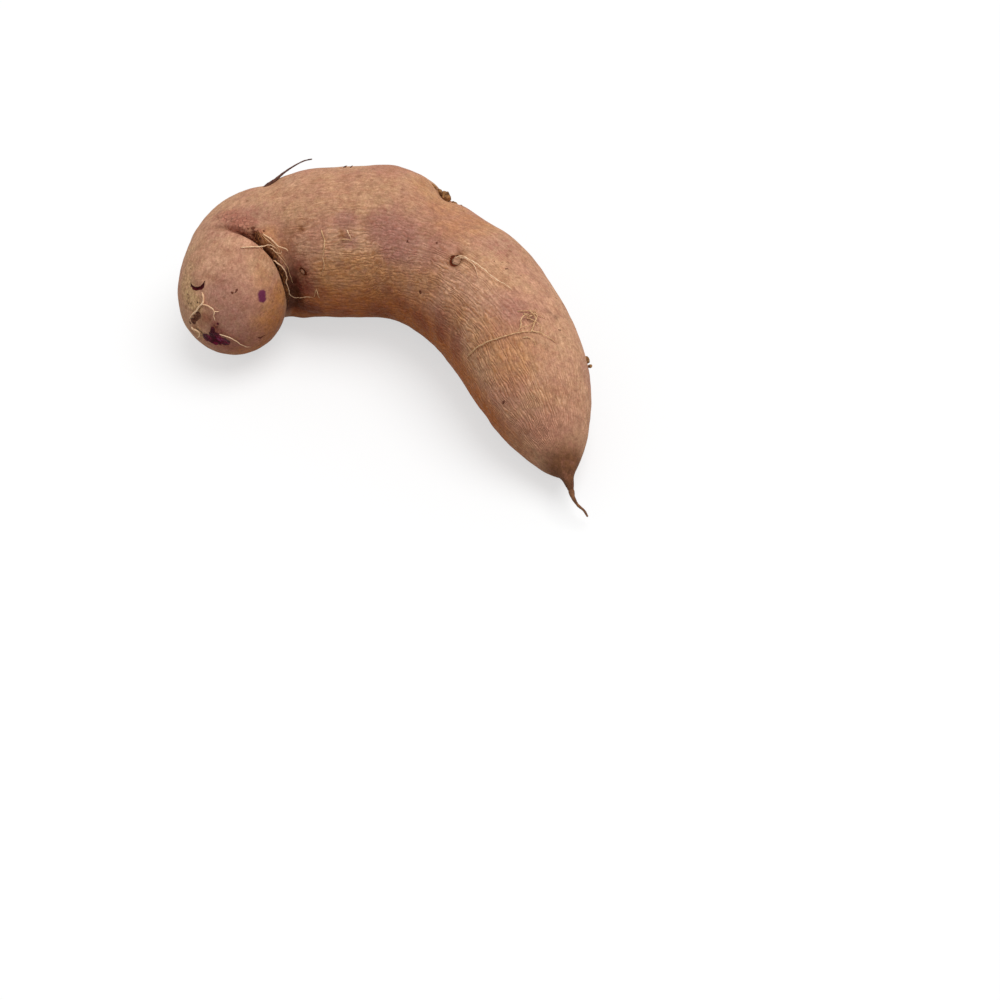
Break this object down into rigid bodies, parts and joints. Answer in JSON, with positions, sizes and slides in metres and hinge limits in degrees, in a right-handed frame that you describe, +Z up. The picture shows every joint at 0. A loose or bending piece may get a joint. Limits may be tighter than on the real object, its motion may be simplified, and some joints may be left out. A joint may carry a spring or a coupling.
{
  "type": "sweet potato",
  "caption": "Whole raw purple-fleshed sweet potato, hooked, with tan skin and a blunt head folded against its body.",
  "frame": {"origin": "under the middle of its bounding box, on the surface it rests on", "axes": "+X from the folded head towards the shoulder of the hook, its longest extent; -Y the way the head and the tail point; +Z up"},
  "size_m": [0.1534, 0.1416, 0.058],
  "materials": {
    "skin": "matte, dry tan skin with mauve patches"
  },
  "bodies": {
    "root": {"sweet_potato": "skin"}
  },
  "joints": []
}
